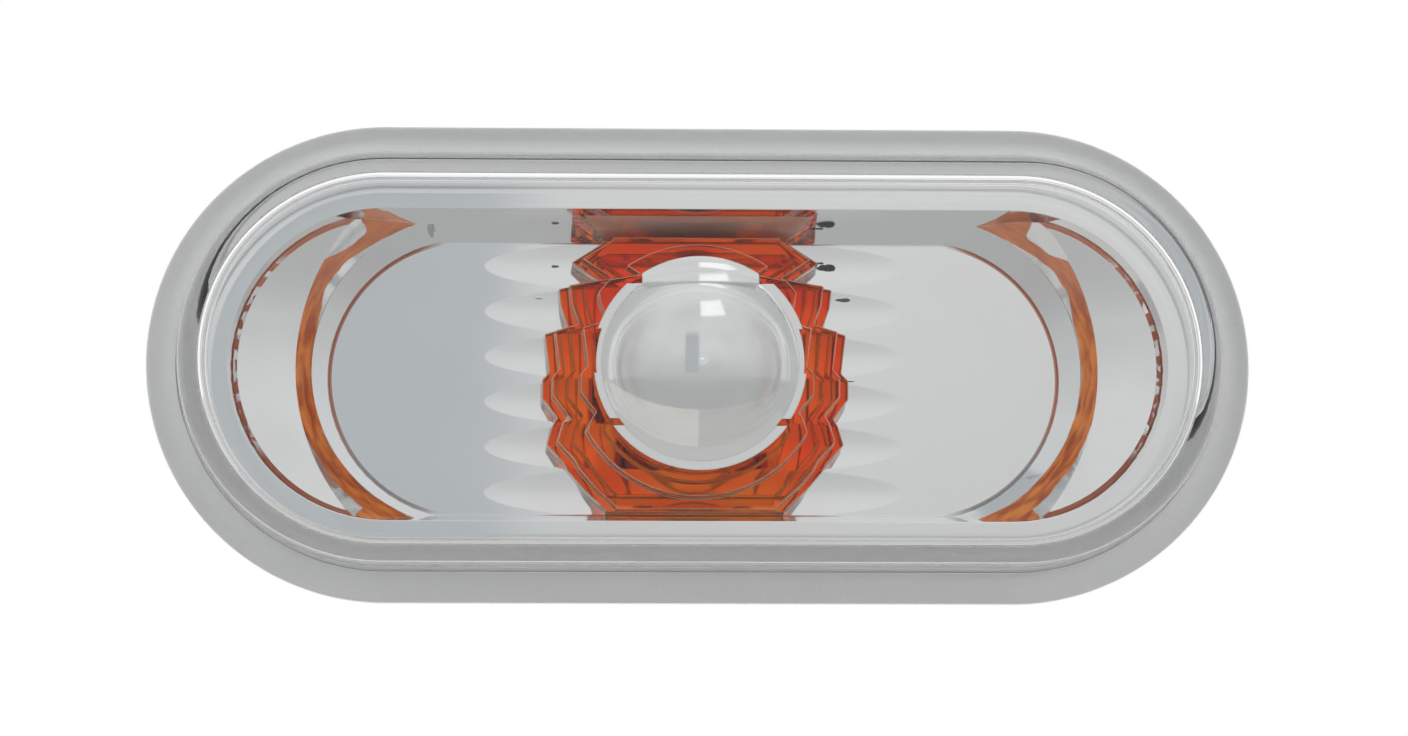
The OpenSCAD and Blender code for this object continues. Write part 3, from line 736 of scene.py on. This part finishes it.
def tent_cloth():
    """Pale cloth round the lamp's front, with the tones that the photograph shows in the chrome."""
    s = Shader("tent_cloth")
    way = s.node("VectorMath", {0: s.object_coords()}, operation="NORMALIZE").outputs[0]
    x, y, z = s.xyz(way)
    to_degrees = math.degrees(1)
    azimuth = s.times(s.math("ARCTAN2", x, s.times(y, -1.0)), to_degrees)
    elevation = s.times(s.math("ARCSINE", z), to_degrees)
    color = s.mix(s.rise(elevation, 4.0, 12.0), TENT_LOW, TENT_MIDDLE)
    color = s.mix(s.rise(elevation, 62.0, 20.0), color, TENT_TOP)
    color = s.mix(s.rise(s.size(azimuth), 60.0, 30.0), color, TENT_SIDES)
    stand = s.both(s.window(azimuth, -12.0, -0.35, 0.45), s.window(elevation, -20.0, 27.0, 4.0))
    color = s.mix(stand, color, STAND)
    panel = s.both(s.window(azimuth, 2.0, 28.0, 1.5), s.window(elevation, 42.0, 56.0, 1.5))
    color = s.mix(panel, color, PANEL)
    cloud = s.map_range(s.noise(2.2, detail=2.0), 0.3, 0.7, 0.95, 1.05)
    strength = s.times(cloud, for_matt(s, MATT_LIFT_ABOVE))
    shader = s.node("Emission", {"Color": color, "Strength": strength})
    s.surface(shader.outputs["Emission"])
    return s.material


def mat_cloth():
    """Grey mat in front of the lamp, lighter far away where it meets the tent."""
    s = Shader("mat_cloth")
    y = s.xyz()[1]
    color = s.mix(s.map_range(y, -1.2, -0.3, 1.0, 0.0, "SMOOTHSTEP"), MAT_NEAR, MAT_FAR)
    shader = s.node("Emission", {"Color": color, "Strength": for_matt(s, MATT_LIFT_BELOW)})
    s.surface(shader.outputs["Emission"])
    return s.material


def add_tent():
    low = math.degrees(math.asin(-(FLOOR_DROP - CARD_LIFT) / TENT_RADIUS))
    levels = [low] + list(range(0, 91, TENT_STEP))
    turns = list(range(-TENT_SIDE, TENT_SIDE + 1, TENT_STEP))
    verts = [direction(a, e) * TENT_RADIUS for e in levels for a in turns]
    wide = len(turns)
    faces = [(r * wide + c, r * wide + c + 1, (r + 1) * wide + c + 1, (r + 1) * wide + c)
             for r in range(len(levels) - 1) for c in range(wide - 1)]
    mesh = bpy.data.meshes.new("tent")
    mesh.from_pydata(verts, [], faces)
    tent = bpy.data.objects.new("tent", mesh)
    bpy.context.scene.collection.objects.link(tent)
    mesh.materials.append(tent_cloth())
    reflected_only(tent)


def add_cards():
    floor_card("mat", SHEET_FAR, MAT_EDGE, -MAT_EDGE, MAT_EDGE, mat_cloth())
    for name, near, left, right, color in FLOOR_CARDS:
        floor_card(name, near, SHEET_FAR, left, right, emission(name, color))


def add_studio():
    add_world()
    add_floor()
    softbox("key", 28, 45, 1.0, (0.6, 0.35), 4.5)
    softbox("fill", -60, 15, 1.2, (0.4, 0.8), 2.0)
    add_tent()
    add_cards()


def set_view():
    view = bpy.context.scene.view_settings
    view.view_transform = "Standard"
    cycles = bpy.context.scene.cycles
    cycles.max_bounces = 24
    cycles.glossy_bounces = 12
    cycles.transmission_bounces = 24


def write_sizes():
    import json


clear_scene()
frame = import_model()
cad_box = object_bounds()
add_camera(cad_box[1][0] - cad_box[0][0])
set_view()
finishes = dress(frame)
make_lens().data.materials.append(finishes["clear_lens"])
collar = make_collar(frame["nodes"]["amber_filter"])
collar.data.materials.append(finishes["amber_plastic"])
# The second slot, on the bevel faces, is the painted edge highlight.
collar.data.materials.append(amber_edge_painted_highlight())
add_studio()
write_sizes()
